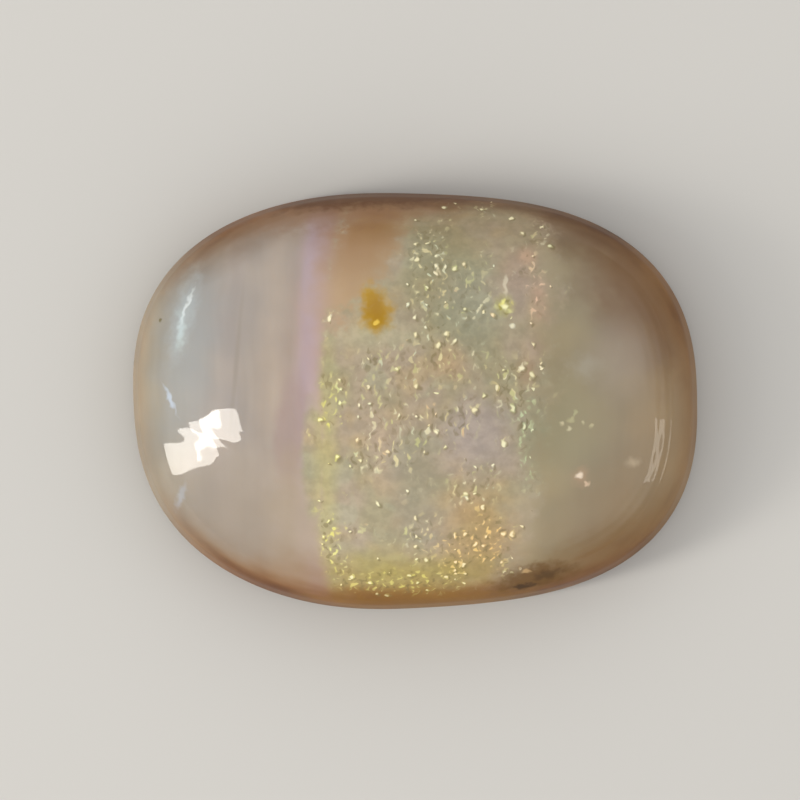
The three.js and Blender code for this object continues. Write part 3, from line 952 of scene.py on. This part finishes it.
FLOOR_REACH = 2.0
FLOOR_DROP = 0.00002
FLOOR_COLOUR = (0.575, 0.57, 0.555, 1)
FLOOR_ROUGHNESS = 0.85
FLOOR_GLOSS = 0.2
floor_mesh = bpy.data.meshes.new("floor")
floor_across = np.array([[-1, -1], [1, -1], [1, 1], [-1, 1]]) * FLOOR_REACH
floor_points = np.concatenate([floor_across, np.full((4, 1), STONE_LOW[2] - FLOOR_DROP)], axis=1)
floor_mesh.from_pydata(floor_points.tolist(), [], [[0, 1, 2, 3]])
floor_material = bpy.data.materials.new("pale_board")
floor_material.use_nodes = True
floor_shader = floor_material.node_tree.nodes["Principled BSDF"]
floor_shader.inputs["Base Color"].default_value = FLOOR_COLOUR
floor_shader.inputs["Roughness"].default_value = FLOOR_ROUGHNESS
floor_shader.inputs["Specular IOR Level"].default_value = FLOOR_GLOSS
floor_mesh.materials.append(floor_material)
floor = bpy.data.objects.new("floor", floor_mesh)
bpy.context.scene.collection.objects.link(floor)


# The light: an even studio glow, brightest part of the way up and dim overhead, and one warm softbox on the
# left, built up of three panels, whose reflection is the bright patch near the stone's left end. A small
# pale card stands low on the right, for the wheel's steps to catch.

LIGHT_DISTANCE = 0.25
SOFTBOX_COLOUR = (1.0, 0.95, 0.87)
CARD_COLOUR = (1.0, 0.93, 0.82)
GLOW_STRENGTH = 1.17

# Colours of the glow from the horizon to overhead
GLOW_COLOURS = [
    (0.0, (0.30, 0.29, 0.28)),
    (0.4, (1.05, 1.03, 1.0)),
    (0.7, (1.0, 0.98, 0.95)),
    (0.92, (0.4, 0.39, 0.38)),
    (1.0, (0.2, 0.2, 0.19)),
]


def studio_panel(name, turn, rise, wide, tall, power, colour):
    """A rectangular light at an angle round the stone and a rise above the floor, both in degrees, aimed at
    the stone, with its sides in metres."""
    lamp = bpy.data.lights.new(name, "AREA")
    lamp.shape = "RECTANGLE"
    lamp.size = wide
    lamp.size_y = tall
    lamp.energy = power
    lamp.color = colour
    panel = bpy.data.objects.new(name, lamp)
    level = LIGHT_DISTANCE * math.cos(math.radians(rise))
    panel.location = (
        level * math.cos(math.radians(turn)),
        level * math.sin(math.radians(turn)),
        LIGHT_DISTANCE * math.sin(math.radians(rise)),
    )
    panel.rotation_euler = (-panel.location).to_track_quat("-Z", "Y").to_euler()
    panel.visible_camera = False
    bpy.context.scene.collection.objects.link(panel)


studio_panel("left_softbox_low", 195.5, 18.5, 0.046, 0.114, 0.20, SOFTBOX_COLOUR)
studio_panel("left_softbox_high", 190.0, 36.0, 0.028, 0.088, 0.094, SOFTBOX_COLOUR)
studio_panel("left_softbox_middle", 192.0, 28.5, 0.040, 0.050, 0.076, SOFTBOX_COLOUR)
studio_panel("right_card", -13.0, 14.0, 0.09, 0.03, 0.026, CARD_COLOUR)

world = bpy.data.worlds.new("studio_glow")
world.use_nodes = True
world_tree = world.node_tree
world_shader = world_tree.nodes["Background"]
direction = world_tree.nodes.new("ShaderNodeTexCoord").outputs["Generated"]
upward = place(world_tree, "ShaderNodeSeparateXYZ", {0: direction}).outputs[2]
world_tree.links.new(ramp(world_tree, upward, GLOW_COLOURS), world_shader.inputs["Color"])
world_shader.inputs["Strength"].default_value = GLOW_STRENGTH
bpy.context.scene.world = world


# The camera: straight above the stone on a long lens, a little to its left, as the photograph was taken.
# The lens follows from the camera's height and from the width that the picture spans at the stone's back.

CAMERA_HEIGHT = 0.25
CAMERA_LEFT = -0.00043
CAMERA_BACK = 0.00003
FRAME_WIDTH = 0.02273
SENSOR_WIDTH = 36.0
NEAR_CLIP = 0.001
camera_data = bpy.data.cameras.new("camera")
camera_data.sensor_width = SENSOR_WIDTH
camera_data.lens = SENSOR_WIDTH * CAMERA_HEIGHT / FRAME_WIDTH
camera_data.clip_start = NEAR_CLIP
camera = bpy.data.objects.new("camera", camera_data)
camera.location = (CAMERA_LEFT, CAMERA_BACK, CAMERA_HEIGHT)
bpy.context.scene.collection.objects.link(camera)
bpy.context.scene.camera = camera
bpy.context.scene.view_settings.view_transform = "Standard"
